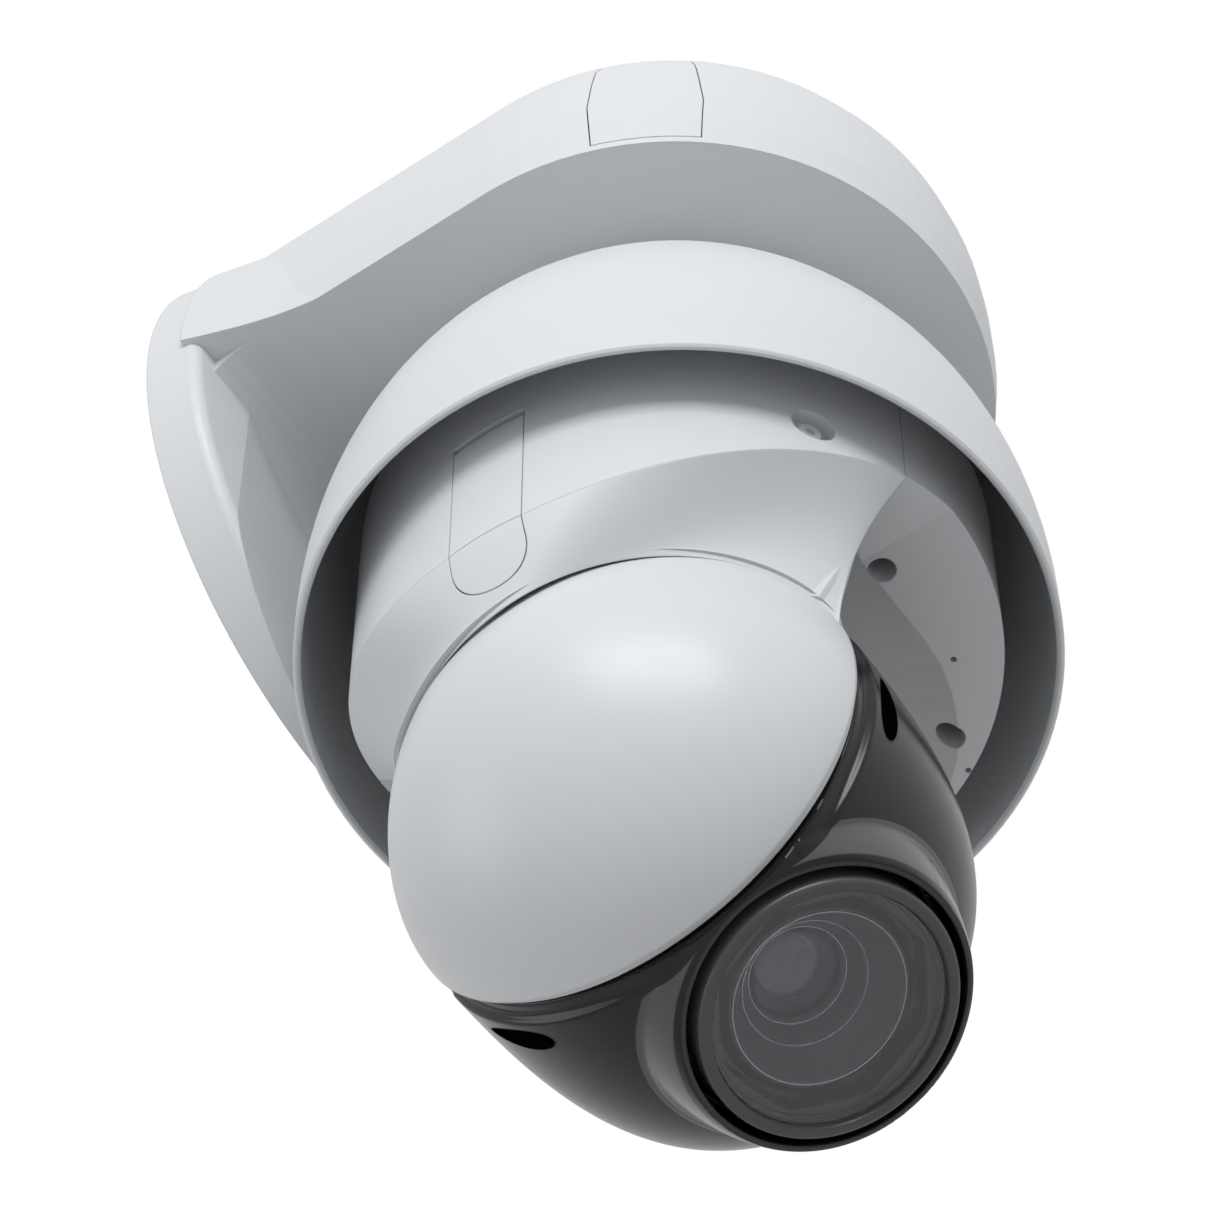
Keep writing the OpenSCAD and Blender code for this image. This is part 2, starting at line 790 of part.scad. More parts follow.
// Sickle-shaped board with its lamps, behind the window
module led_board() {
    color("darkgreen") difference() {
        on_lens() translate([0, 0, 49]) tube(42.4, shroud_r + 0.2, 1.2);
        half_y(band_y + 2.5, -1);
    }
}

module ir_leds() {
    color("whitesmoke") on_lens() for (a = [-100:20:100])
        rotate([0, 0, 90 + a]) translate([39.8, 0, 50.25]) {
            cylinder(r = 1.7, h = 2);
            translate([0, 0, 2]) sphere(r = 1.5);
        }
}

module light_sensor() {
    color("black") on_lens() translate([-40.3, -2.5, 50.25]) cylinder(r = 1.7, h = 2);
}

module window_bezel() {
    color("#2a2b2d") on_lens() rotate_extrude() polygon([[31.3, 46.5], [bezel_r, 46.5],
        [bezel_r, lens_reach - 1.2], [bezel_r - 1.2, lens_reach], [32.6, lens_reach], [31.3, lens_reach - 1.2]]);
}

module window_gasket() {
    color("black") on_lens() translate([0, 0, 48]) tube(shroud_r - 2.05, bezel_r + 0.05, 10);
}

module window_glass() {
    color("lightsteelblue", 0.4) on_lens() translate([0, 0, lens_reach - 4]) cylinder(r = 31.2, h = 2);
}

module lens_barrel() {
    color("#2a2a2d") on_lens() rotate_extrude() polygon([[12.2, 20.2], [30.5, 20.2], [30.5, 64], [29, 65.5],
        [24.5, 62.5], [23.5, 58], [17.5, 52], [16.4, 48], [12.2, 45.5]]);
}

module front_element() {
    dish = 22;
    color("lightsteelblue", 0.5) on_lens() intersection() {
        translate([0, 0, 41]) cylinder(r = 12, h = 12);
        translate([0, 0, 48 - dish]) sphere(r = dish);
    }
}

module lens_cell(z, h) {
    on_lens() translate([0, 0, z]) difference() {
        cylinder(r = 12.1, h = h);
        translate([0, 0, h - 1.2]) cylinder(r = 9, h = 3);
    }
}

module zoom_group() {
    color("slategray") lens_cell(33, 4);
}

module focus_group() {
    color("slategray") lens_cell(24.5, 3.5);
}

module camera_block() {
    wide = 44;
    color("#3a3a3d") on_lens() difference() {
        translate([-wide / 2, -wide / 2 + 7, -6]) cube([wide, wide - 7, 26]);
        translate([-wide / 2 + 3, -wide / 2 + 10, -3]) cube([wide - 6, wide - 13, 20]);
        translate([0, 0, 10]) cylinder(r = 12.2, h = 20);
    }
}

module ir_cut_filter() {
    color("steelblue") on_lens() translate([-5.5, -7, 12]) cube([24, 14, 1.4]);
}

module sensor_board() {
    color("darkgreen") on_lens() {
        translate([-18, -11, 0]) cube([36, 29, 1.6]);
        translate([-6, -6, 1.6]) cube([12, 12, 1.4]);
    }
}

place() wall_plate();
place() wall_bracket();
place() bracket_set_screw();
place() side_cover();
place() neck_screws();
place() neck_gasket();
place() base_neck();
place() cable_gland();
place() weather_hood();
place() hood_collar();
place() hood_screws();
place() base_chassis();
place() main_board();
place() network_socket();
place() pan_ring_gear();
place() pan_bearing_outer();
place() slip_ring_stator();
place() pan_hub();
place() pan_bearing_inner();
place() slip_ring_rotor();
place() rear_housing();
place() arm_housing();
place() dome_cap();
place() rear_screws();
place() arm_screws();
place() pan_motor();
place() tilt_motor();
place() tilt_bearing();
place() control_board();
place() service_board();
place() memory_card();
place() reset_button();
place() service_cover();
place() pan_pinion();
place() tilt_pinion();
place() head_rear();
place() head_front();
place() tilt_shaft();
place() tilt_gear();
place() head_screws();
place() ir_window();
place() led_board();
place() ir_leds();
place() light_sensor();
place() window_bezel();
place() window_gasket();
place() window_glass();
place() lens_barrel();
place() front_element();
place() zoom_group();
place() focus_group();
place() ir_cut_filter();
place() camera_block();
place() sensor_board();
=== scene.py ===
import json
import math
import bpy
import bmesh
from mathutils import Matrix, Vector
from mathutils.bvhtree import BVHTree


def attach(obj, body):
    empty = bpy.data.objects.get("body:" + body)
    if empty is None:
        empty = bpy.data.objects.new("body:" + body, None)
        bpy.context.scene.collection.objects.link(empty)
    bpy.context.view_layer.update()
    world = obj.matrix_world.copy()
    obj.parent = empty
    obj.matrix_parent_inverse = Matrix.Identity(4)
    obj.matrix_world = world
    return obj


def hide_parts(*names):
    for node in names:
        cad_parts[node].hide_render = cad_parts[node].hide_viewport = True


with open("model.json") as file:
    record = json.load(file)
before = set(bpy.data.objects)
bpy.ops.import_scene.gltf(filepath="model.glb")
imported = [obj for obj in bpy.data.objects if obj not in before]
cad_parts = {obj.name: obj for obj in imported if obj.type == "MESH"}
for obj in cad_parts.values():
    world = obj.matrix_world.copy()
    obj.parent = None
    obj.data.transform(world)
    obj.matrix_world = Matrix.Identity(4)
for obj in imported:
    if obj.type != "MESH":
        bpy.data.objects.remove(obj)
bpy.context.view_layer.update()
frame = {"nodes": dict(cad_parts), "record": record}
nodes = frame["nodes"]
scene = bpy.context.scene

# Row frame: the pan axis stands at PAN_X, and the hood's rim lies at RIM_Z.
PAN_X, RIM_Z = 0.113, -0.132
TILT = Vector((PAN_X, 0.0, RIM_Z - 0.0782))


# ---- materials ----

class Graph:
    """Small helper that builds one material's node tree."""

    def __init__(self, name, colour, rough, metal=0.0):
        self.mat = bpy.data.materials.new(name)
        self.mat.use_nodes = True
        self.tree = self.mat.node_tree
        self.bsdf = next(n for n in self.tree.nodes if n.type == "BSDF_PRINCIPLED")
        self.put("Base Color", (*colour, 1.0))
        self.put("Roughness", rough)
        self.put("Metallic", metal)
        self.normal = None
        self.coord = self.tree.nodes.new("ShaderNodeTexCoord").outputs["Object"]

    def put(self, socket, value):
        self.bsdf.inputs[socket].default_value = value

    def add(self, kind, **sockets):
        node = self.tree.nodes.new(kind)
        for key, value in sockets.items():
            if hasattr(value, "is_output"):
                self.tree.links.new(value, node.inputs[key])
            else:
                node.inputs[key].default_value = value
        return node

    def noise(self, scale, detail=3.0, stretch=None):
        vector = self.coord
        if stretch:
            mapping = self.add("ShaderNodeMapping", Vector=self.coord)
            mapping.inputs["Scale"].default_value = stretch
            vector = mapping.outputs["Vector"]
        return self.add("ShaderNodeTexNoise", Vector=vector, Scale=scale, Detail=detail).outputs["Fac"]

    def span(self, value, low, high, frm=(0.3, 0.7)):
        """value, mapped so that frm becomes low to high, and held at those ends."""
        node = self.add("ShaderNodeMapRange", Value=value)
        for key, number in zip(("From Min", "From Max", "To Min", "To Max"), (*frm, low, high)):
            node.inputs[key].default_value = number
        return node.outputs["Result"]

    def maths(self, kind, a, b=None):
        """A maths node of a and b, each a number or another node's output."""
        node = self.tree.nodes.new("ShaderNodeMath")
        node.operation = kind
        for socket, value in zip(node.inputs, (a, b)):
            if hasattr(value, "is_output"):
                self.tree.links.new(value, socket)
            elif value is not None:
                socket.default_value = value
        return node.outputs[0]

    def times(self, first, *others):
        for other in others:
            first = self.maths("MULTIPLY", first, other)
        return first

    def distance(self, a, b):
        """Length of the vector (a, b)."""
        return self.maths("SQRT", self.maths("ADD", self.times(a, a), self.times(b, b)))

    def rough_from(self, value, low, high, frm=(0.3, 0.7)):
        self.tree.links.new(self.span(value, low, high, frm), self.bsdf.inputs["Roughness"])

    def mix_colour(self, factor, a, b):
        node = self.tree.nodes.new("ShaderNodeMix")
        node.data_type = "RGBA"
        self.tree.links.new(factor, node.inputs[0])
        for socket, value in ((node.inputs[6], a), (node.inputs[7], b)):
            if hasattr(value, "is_output"):
                self.tree.links.new(value, socket)
            else:
                socket.default_value = (*value, 1.0)
        return node.outputs[2]

    def bump(self, height, strength, distance):
        node = self.add("ShaderNodeBump", Strength=strength, Distance=distance, Height=height)
        if self.normal is not None:
            self.tree.links.new(self.normal, node.inputs["Normal"])
        self.normal = node.outputs["Normal"]

    def soft_edges(self, radius):
        node = self.add("ShaderNodeBevel", Radius=radius)
        node.samples = 6
        self.normal = node.outputs["Normal"]

    def edge_mask(self, radius, low=0.0, high=0.25):
        """Bright along edges, for a painted edge highlight: how far the bevelled normal leaves the true one.
        """
        bevel = self.add("ShaderNodeBevel", Radius=radius)
        bevel.samples = 6
        true = self.tree.nodes.new("ShaderNodeNewGeometry").outputs["Normal"]
        dot = self.tree.nodes.new("ShaderNodeVectorMath")
        dot.operation = "DOT_PRODUCT"
        self.tree.links.new(bevel.outputs["Normal"], dot.inputs[0])
        self.tree.links.new(true, dot.inputs[1])
        return self.span(dot.outputs["Value"], 0.0, 1.0, (1.0 - low, 1.0 - high))

    def colour_from(self, output):
        self.tree.links.new(output, self.bsdf.inputs["Base Color"])

    def done(self):
        if self.normal is not None:
            self.tree.links.new(self.normal, self.bsdf.inputs["Normal"])
        return self.mat


def shell_plastic(name, colour, rough):
    g = Graph(name, colour, rough)
    g.soft_edges(0.0006)
    mottle = g.noise(9.0, 4.0)
    darker, lighter = (tuple(c * share for c in colour) for share in (0.985, 1.01))
    base = g.mix_colour(g.span(mottle, 0.0, 1.0), darker, lighter)
    # painted highlight: the edges are lightened by 12 % where light would catch them
    edge_highlight = g.mix_colour(g.edge_mask(0.0005, 0.02, 0.5), base, tuple(min(1, c * 1.12) for c in colour))
    g.colour_from(edge_highlight)
    g.rough_from(g.noise(60.0, 5.0), rough - 0.05, rough + 0.06)
    g.bump(g.noise(2600.0, 2.0), 0.05, 0.00006)
    g.bump(g.noise(340.0, 2.0), 0.04, 0.00012)
    g.put("Specular IOR Level", 0.42)
    return g.done()


def gloss_black(name, colour, rough):
    g = Graph(name, colour, rough)
    g.soft_edges(0.0005)
    g.rough_from(g.noise(38.0, 5.0), rough, rough + 0.07)
    scratch = g.noise(220.0, 2.0, (1.0, 9.0, 1.0))
    g.bump(scratch, 0.015, 0.00003)
    g.put("Coat Weight", 0.35)
    g.put("Coat Roughness", 0.06)
    return g.done()


def rough_black(name, colour, rough):
    g = Graph(name, colour, rough)
    g.soft_edges(0.0003)
    g.rough_from(g.noise(90.0, 4.0), rough - 0.06, rough + 0.08)
    g.bump(g.noise(1900.0, 2.0), 0.12, 0.00008)
    return g.done()


def metal(name, colour, rough, stretch=(1.0, 1.0, 14.0)):
    g = Graph(name, colour, rough, 1.0)
    g.soft_edges(0.0003)
    g.rough_from(g.noise(160.0, 3.0, stretch), rough - 0.06, rough + 0.1)
    g.bump(g.noise(420.0, 2.0, stretch), 0.06, 0.00005)
    return g.done()


def clear(name, tint, rough, coat=0.0):
    g = Graph(name, tint, rough)
    g.put("Transmission Weight", 1.0)
    g.put("IOR", 1.5)
    g.put("Coat Weight", coat)
    if rough:
        g.rough_from(g.noise(25.0, 4.0), rough, rough + 0.015)
    return g.done()


M = {
    "shell": shell_plastic("cool_grey_satin", (0.60, 0.615, 0.635), 0.42),
    "cap": shell_plastic("cool_grey_cap", (0.60, 0.615, 0.635), 0.36),
    "black": gloss_black("black_gloss_shell", (0.010, 0.010, 0.011), 0.10),
    "tint": gloss_black("tinted_window", (0.045, 0.045, 0.048), 0.16),
    "matt": rough_black("fine_matt_black", (0.03, 0.03, 0.032), 0.42),
    "bezel": rough_black("bezel_grey", (0.060, 0.060, 0.066), 0.30),
    "rubber": rough_black("rubber_black", (0.012, 0.012, 0.012), 0.7),
    "steel": metal("plain_steel", (0.45, 0.46, 0.48), 0.34),
    "cast": metal("cast_aluminium", (0.38, 0.39, 0.41), 0.5, (1, 1, 1)),
    "brass": metal("plated_brass", (0.62, 0.46, 0.2), 0.3),
    "nylon": rough_black("natural_nylon", (0.62, 0.6, 0.53), 0.45),
    "board": rough_black("solder_mask", (0.015, 0.10, 0.04), 0.35),
    "lamp": clear("lamp_caps", (0.9, 0.9, 0.92), 0.05),
    "glass": clear("window_clear", (0.93, 0.94, 0.97), 0.0, 0.2),
    "element": clear("coated_element", (0.62, 0.56, 0.70), 0.0, 0.6),
}

BY_SLOT = {"bracket_paint": "shell", "housing_plastic": "shell", "cast_metal": "cast", "steel": "steel",
           "screws": "steel", "seal_rubber": "rubber", "black_shell": "black", "window_tint": "tint",
           "bezel_plastic": "bezel", "board_green": "board", "lamp_clear": "lamp", "gear_nylon": "nylon",
           "contact_brass": "brass", "clear_glass": "glass"}
SPECIAL = {"dome_cap": "cap", "hood_collar": "shell", "neck_gasket": "shell", "base_neck": "shell",
           "arm_screws": "shell", "head_screws": "matt", "lens_barrel": "matt", "front_element": "element",
           "camera_block": "matt"}


def smooth(obj, degrees=32.0):
    for poly in obj.data.polygons:
        poly.use_smooth = True
    modifier = obj.modifiers.new("edges", "EDGE_SPLIT")
    modifier.split_angle = math.radians(degrees)


for part in frame["record"]["subparts"]:
    obj = nodes[part["node"]]
    obj.data.materials.clear()
    obj.data.materials.append(M[SPECIAL.get(part["node"], BY_SLOT[part["material_slot"]])])
    smooth(obj)

# ---- pieces with finer shapes than the CAD solids they stand for ----

DIP = math.radians(65.5)
LENS = Vector((math.cos(DIP), 0.0, -math.sin(DIP)))     # the way the lens looks
ACROSS = Vector((math.sin(DIP), 0.0, math.cos(DIP)))    # across the lens, square to the tilt axis
SIDE = Vector((0.0, 1.0, 0.0))
LENS_Y = 20.5
MM = 0.001
AXIS_AT = TILT + SIDE * (LENS_Y * MM)                   # a point that the lens axis passes through


def lens_point(w, y, l):
    """A point of the head, in mm: w across the lens, y along the tilt axis, l along the lens."""
    return TILT + (ACROSS * w + SIDE * y + LENS * l) * MM


def grid_faces(rows, wide, closed=False):
    """Quads of a grid of points given row by row. closed joins each row's last point to its first."""
    faces = []
    for row in range(rows - 1):
        for k in range(wide if closed else wide - 1):
            n = (k + 1) % wide
            faces.append((row * wide + k, row * wide + n, (row + 1) * wide + n, (row + 1) * wide + k))
    return faces


def new_piece(name, verts, faces, material, body, angle=35.0):
    mesh = bpy.data.meshes.new(name)
    mesh.from_pydata([tuple(v) for v in verts], [], faces)
    mesh.validate()
    obj = bpy.data.objects.new(name, mesh)
    scene.collection.objects.link(obj)
    mesh.materials.append(material)
    tidy = bmesh.new()
    tidy.from_mesh(mesh)
    bmesh.ops.recalc_face_normals(tidy, faces=tidy.faces)
    tidy.to_mesh(mesh)
    tidy.free()
    smooth(obj, angle)
    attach(obj, body)
    return obj


def turned(name, profile, centre, axis, across, material, body, slot, steps=256, angle=35.0, facets=None):
    """A profile of (radius, height) in mm, turned round an axis. facets flattens a row into chords:
    {row: (how many, how far from the circle towards the chord)}."""
    third = axis.cross(across)
    verts = []
    for row, (r, z) in enumerate(profile):
        for k in range(steps):
            a = 2 * math.pi * k / steps
            rr = r
            if facets and row in facets:
                count, share = facets[row]
                local = (a + 0.2) % (2 * math.pi / count) - math.pi / count
                rr = r * ((1 - share) + share * math.cos(math.pi / count) / math.cos(local))
            verts.append(centre + (axis * z + (across * math.cos(a) + third * math.sin(a)) * rr) * MM)
    return new_piece(name, verts, grid_faces(len(profile), steps, True), material, body, angle)


def ramp01(x, low, high):
    t = min(1.0, max(0.0, (x - low) / (high - low)))
    return t * t * (3 - 2 * t)


HEAD_R, HEAD_Y, HEAD_LEN, HEAD_N = 68.6, -19.4, 95.5, 2.92
RING_R, FLANK_R, RING_Z = 39.0, 44.8, 68.9


def head_radius(y):
    v = max(0.0, (y - HEAD_Y) / HEAD_LEN)
    return HEAD_R * max(0.0, 1 - v ** HEAD_N) ** (1 / HEAD_N)


BAND_FOOT = (-15.2, -13.6)                              # the recessed band beside the cap ends between these
BAND_START = -12.5                                      # nothing is recessed beyond this
SKIN_STEPS, SKIN_ROWS = 560, 190


def collar_height(w, y, l):
    """How far out the skin lies at (w, y) once the lens collar is added."""
    rho = math.hypot(w, y - LENS_Y)
    if rho >= FLANK_R or l <= 20.0:
        return l
    scale = FLANK_R / max(rho, 1e-6)
    foot_w, foot_y = w * scale, LENS_Y + (y - LENS_Y) * scale
    if foot_y <= HEAD_Y:
        return l + (RING_Z - l) * ramp01(FLANK_R - rho, 0.0, FLANK_R - RING_R)
    if rho <= RING_R:
        return RING_Z
    foot = math.sqrt(max(head_radius(foot_y) ** 2 - foot_w ** 2, 100.0))
    t = min(1.0, (FLANK_R - rho) / (FLANK_R - RING_R))
    return foot + (RING_Z - foot) * (1 - (1 - t) ** 1.35)


def head_skin():
    """Front shell of the head: an egg about the tilt axis with a recessed band beside the cap,
    and a collar round the lens."""
    rows = [(r, HEAD_Y) for r in (22.0, 45.0, 60.0, 66.4)]                # flat near end
    rows += [(None, HEAD_Y + 0.5 * i) for i in range(1, 24)]              # the band
    first = math.asin(12.0 / HEAD_LEN)
    for i in range(SKIN_ROWS + 1):                                        # the rest, closer at the far end
        v = math.sin(first * (1 - i / SKIN_ROWS) + math.pi / 2 * i / SKIN_ROWS)
        rows.append((None, HEAD_Y + HEAD_LEN * v))
    verts, behind_lens = [], []
    for flat_r, y in rows:
        for k in range(SKIN_STEPS + 1):
            phi = math.pi * (k / SKIN_STEPS - 0.5)
            r = head_radius(y) if flat_r is None else flat_r
            across = abs(r * math.sin(phi))
            if flat_r is None and y < BAND_START:
                r -= 2.2 * ramp01(across, 20.0, 46.0) * (1 - ramp01(y, *BAND_FOOT))
                r -= 0.5 * (1 - ramp01(y, -19.4, -18.4))
            elif flat_r is not None and r > 65.0:
                r -= 1.4 * ramp01(across, 30.0, 37.0)
            w, l = r * math.sin(phi), r * math.cos(phi)
            if flat_r is None:
                l = collar_height(w, y, l)
            verts.append(lens_point(w, y, l))
            behind_lens.append(flat_r is None and math.hypot(w, y - LENS_Y) < RING_R - 0.9 and l > 30.0)
    faces = [q for q in grid_faces(len(rows), SKIN_STEPS + 1) if not all(behind_lens[i] for i in q)]
    skin = new_piece("head_front_skin", verts, faces, M["head"], "head", 40.0)
    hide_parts("head_front", "ir_window")


def head_paint():
    """Gloss black, with the tinted window and the ring round the light sensor marked out by their places on
    the head,
    and painted shade in the screw pockets: near-black and without reflection. All lengths are in mm from the
    lens axis."""
    black, window_grey, pocket_shade_black = (0.009, 0.009, 0.010), (0.085, 0.085, 0.091), (0.001, 0.001, 0.001)
    sensor_w, sensor_y, pocket_w, pocket_y = 41.9, -0.9, 61.5, -28.0
    g = Graph("black_gloss_and_window", black, 0.16)
    shifted = g.add("ShaderNodeVectorMath")
    shifted.operation = "SUBTRACT"
    g.tree.links.new(g.coord, shifted.inputs[0])
    shifted.inputs[1].default_value = AXIS_AT

    def along(axis):
        node = g.tree.nodes.new("ShaderNodeVectorMath")
        node.operation = "DOT_PRODUCT"
        g.tree.links.new(shifted.outputs[0], node.inputs[0])
        node.inputs[1].default_value = axis * 1000.0
        return node.outputs["Value"]

    def step(value, low, high):
        return g.span(value, 0.0, 1.0, (low, high))

    across, y, l = along(ACROSS), along(SIDE), along(LENS)
    w = g.maths("ABSOLUTE", across)
    rho = g.distance(w, y)
    front = step(l, 20.0, 21.0)
    cap_side = g.maths("SUBTRACT", y, g.times(g.maths("SUBTRACT", w, 33.4), 0.262))
    lobes = g.maths("MAXIMUM", step(w, 14.6, 14.9), step(y, -2.0, 0.0))
    window = g.times(step(rho, 40.2, 40.5), step(rho, 46.3, 46.0), step(cap_side, -32.7, -32.4), lobes, front)
    sensor = g.distance(g.maths("SUBTRACT", across, sensor_w), g.maths("SUBTRACT", y, sensor_y))
    ring = g.times(step(sensor, 2.0, 2.15), step(sensor, 2.55, 2.4), front)
    window = g.times(window, g.maths("SUBTRACT", 1.0, g.times(ring, 0.8)))
    # Painted shade: the screw pockets are coloured near-black, and below, their reflection is turned off.
    pocket_shade = g.distance(g.times(g.maths("SUBTRACT", w, pocket_w), 0.75), g.maths("SUBTRACT", y, pocket_y))
    pocket_shade = g.times(step(pocket_shade, 4.4, 3.9), step(l, 2.0, 3.0))
    g.colour_from(g.mix_colour(pocket_shade, g.mix_colour(window, black, window_grey), pocket_shade_black))
    sheen = g.times(g.maths("SUBTRACT", 1.0, pocket_shade), 0.38)
    g.tree.links.new(sheen, g.bsdf.inputs["Specular IOR Level"])
    g.rough_from(g.noise(38.0, 5.0), 0.17, 0.25)
    g.bump(g.noise(220.0, 2.0, (1.0, 9.0, 1.0)), 0.008, 0.00003)
    g.bump(window, 0.5, 0.00015)
    return g.done()


M["head"] = head_paint()
# painted reflection: a light lilac grey that stands in for the sheen on the barrel's inner wall
M["reflection_lilac"] = rough_black("barrel_painted_reflection_lilac", (0.13, 0.122, 0.142), 0.34)
M["line"] = metal("polished_line", (0.42, 0.41, 0.45), 0.22, (1, 1, 1))
M["dark"] = rough_black("barrel_dark", (0.022, 0.022, 0.024), 0.4)


def lens_ring(name, profile, material, slot, **shape):
    """A part of the lens, turned round its axis."""
    return turned(name, profile, AXIS_AT, LENS, SIDE, M[material], "head", slot, **shape)


head_skin()
lens_ring("shroud_lip",
          [(39.2, 68.0), (39.0, 68.6), (38.7, 68.95), (38.2, 69.1), (37.7, 69.0), (37.4, 68.6), (37.4, 58.0)],
          "black", "black_shell")
bezel = lens_ring("window_bezel_turned",
                  [(35.0, 47.0), (35.0, 70.0), (34.8, 70.6), (34.3, 71.0), (33.7, 71.2), (32.3, 71.3),
                   (31.9, 71.3), (31.6, 70.9), (31.5, 70.2), (31.5, 69.4), (31.3, 69.2), (31.3, 47.0)],
                  "bezel", "bezel_plastic")
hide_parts("window_bezel")
barrel = lens_ring("lens_barrel_turned",
                   [(31.1, 67.2), (30.4, 67.2), (30.1, 66.9), (30.0, 65.6), (29.4, 65.4), (28.6, 60.5),
                    (28.2, 59.6), (26.6, 59.4), (25.0, 61.8), (24.2, 62.5), (23.5, 62.6), (23.1, 62.3)],
                   "dark", "cast_metal", facets={4: (8, 0.75), 5: (8, 0.75)}, angle=24.0)
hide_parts("lens_barrel")
# the cone inside the barrel carries the painted reflection colour
lens_ring("lens_barrel_cone",
          [(23.2, 62.35), (22.9, 62.2), (17.6, 53.2), (17.0, 52.6), (16.5, 52.7), (16.2, 52.3),
           (13.4, 47.6), (12.9, 47.4), (12.2, 46.2), (12.2, 21.0)],
          "reflection_lilac", "cast_metal", angle=24.0)
POLISHED = {"retaining_ring": (23.3, 62.7, 0.22), "inner_ring": (17.0, 53.0, 0.16),
            "element_ring": (13.3, 47.9, 0.2)}
for name, (r, z, thick) in POLISHED.items():
    turns = [math.radians(a) for a in range(0, 361, 40)]
    wire = [(r + thick * math.cos(a), z + thick * math.sin(a)) for a in turns]
    lens_ring(name, wire, "line", "steel", angle=60.0)

# ---- arm shell: a fairing from the drum's lower edge to the cap, and the service cover let into it ----

DRUM_R, CAP_Y, CAP_R, CAP_H, CAP_N, TILT_Z = 89.0, -22.4, 68.6, 59.0, 1.75, -78.2
SCOOP_Y, SCOOP_Z, SCOOP_R, FLAT_Z = 78.0, 14.3, 280.0, 3.0     # the crease: an arc seen from the side
LOOK = Vector((0.328, -0.4659, -0.8218))                # the fairing meets the cap along its outline from here


def cad(x, y, z):
    """A point given in mm from the pan axis and the hood's rim."""
    return Vector((PAN_X + x * MM, y * MM, RIM_Z + z * MM))


def crease_z(y):
    """Height of the drum's lower edge."""
    return min(FLAT_Z, SCOOP_Z - SCOOP_R + math.sqrt(SCOOP_R ** 2 - (y - SCOOP_Y) ** 2))


def cap_edge(u):
    """The point of the cap, at angle u round the tilt axis, where its surface turns away from LOOK."""
    facing = LOOK.x * math.cos(u) + LOOK.z * math.sin(u)
    if facing >= 0:
        return Vector((CAP_R * math.cos(u), CAP_Y, TILT_Z + CAP_R * math.sin(u)))
    slope = (-facing / -LOOK.y) * (CAP_H / CAP_R) ** CAP_N
    ratio = slope ** (1 / (CAP_N - 1))
    r = (1 / (CAP_R ** -CAP_N + (ratio / CAP_H) ** CAP_N)) ** (1 / CAP_N)
    return Vector((r * math.cos(u), CAP_Y - ratio * r, TILT_Z + r * math.sin(u)))


def fairing_point(s, t):
    """A point of the fairing: s runs round it from 0 to 1, t from the drum at 0 to the cap at 1, and
    past 1 it turns in under the cap."""
    turn = math.radians(13.0 + 154.0 * s)
    start = Vector((DRUM_R * math.cos(turn), -DRUM_R * math.sin(turn), 0))
    start.z = crease_z(start.y)
    middle = math.sin(math.pi * s)
    edge = cap_edge(math.radians(20.0 + 151.0 * s))
    lip = edge + LOOK * 20.0 * middle + (Vector((0, CAP_Y, TILT_Z)) - edge) * 0.02 * middle
    side = 1 if s < 0.5 else -1
    corner = Vector((66.5 * side, -20.0, -18.5))
    bulge = (start + lip) / 2 + Vector((math.cos(turn), -math.sin(turn), -0.3)) * 1.8
    knee = corner.lerp(bulge, 1 - (1 - middle) ** 1.6)
    if t > 1:
        return lip.lerp(edge + Vector((-edge.x, 12.0, (TILT_Z - edge.z))) * 0.03, t - 1)
    return start * (1 - t) ** 2 + knee * 2 * t * (1 - t) + lip * t * t


def solid_sheet(name, grid, thick):
    """A painted sheet given by rows of points, thickened inward."""
    verts = [cad(*v) for row in grid for v in row]
    mesh = bpy.data.meshes.new(name)
    mesh.from_pydata([tuple(v) for v in verts], [], grid_faces(len(grid), len(grid[0])))
    mesh.update()
    if mesh.polygons[len(mesh.polygons) // 8].normal.y > 0:
        mesh.flip_normals()
    obj = bpy.data.objects.new(name, mesh)
    scene.collection.objects.link(obj)
    mesh.materials.append(M["shell"])
    wall = obj.modifiers.new("wall", "SOLIDIFY")
    wall.thickness = thick * MM
    wall.offset = -1.0
    return obj


def settle(obj, angle, body):
    """Bakes an object's modifiers into its mesh."""
    bpy.context.view_layer.update()
    baked = bpy.data.meshes.new_from_object(obj.evaluated_get(bpy.context.evaluated_depsgraph_get()))
    obj.modifiers.clear()
    obj.data = baked
    smooth(obj, angle)
    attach(obj, body)
    return obj


COVER_W, COVER_TOP, COVER_END = 11.6, 8.0, -46.8
SPLIT = [i / 150 for i in range(151)]
DOWN = [i / 22 for i in range(23)] + [1.04, 1.3, 1.7, 2.0]
outer = [[fairing_point(s, t) for s in SPLIT] for t in DOWN]
fairing = solid_sheet("arm_fairing", outer, 2.0)
tree = BVHTree.FromPolygons([v for row in outer for v in row], grid_faces(23, len(SPLIT)))


def shell_y(x, z):
    """How far out the arm's outer surface lies at a place across and up."""
    wall_y = -math.sqrt(DRUM_R ** 2 - x * x)
    if z >= crease_z(wall_y):
        return wall_y
    hit = tree.ray_cast(Vector((x, -200, z)), Vector((0, 1, 0)))[0]
    return hit.y if hit else wall_y


def cover_half(z, inset):
    """Half the cover's width at a height."""
    w = COVER_W - inset
    if z >= COVER_END:
        return w
    return math.sqrt(max(w * w - (z - COVER_END) ** 2, 0.0))


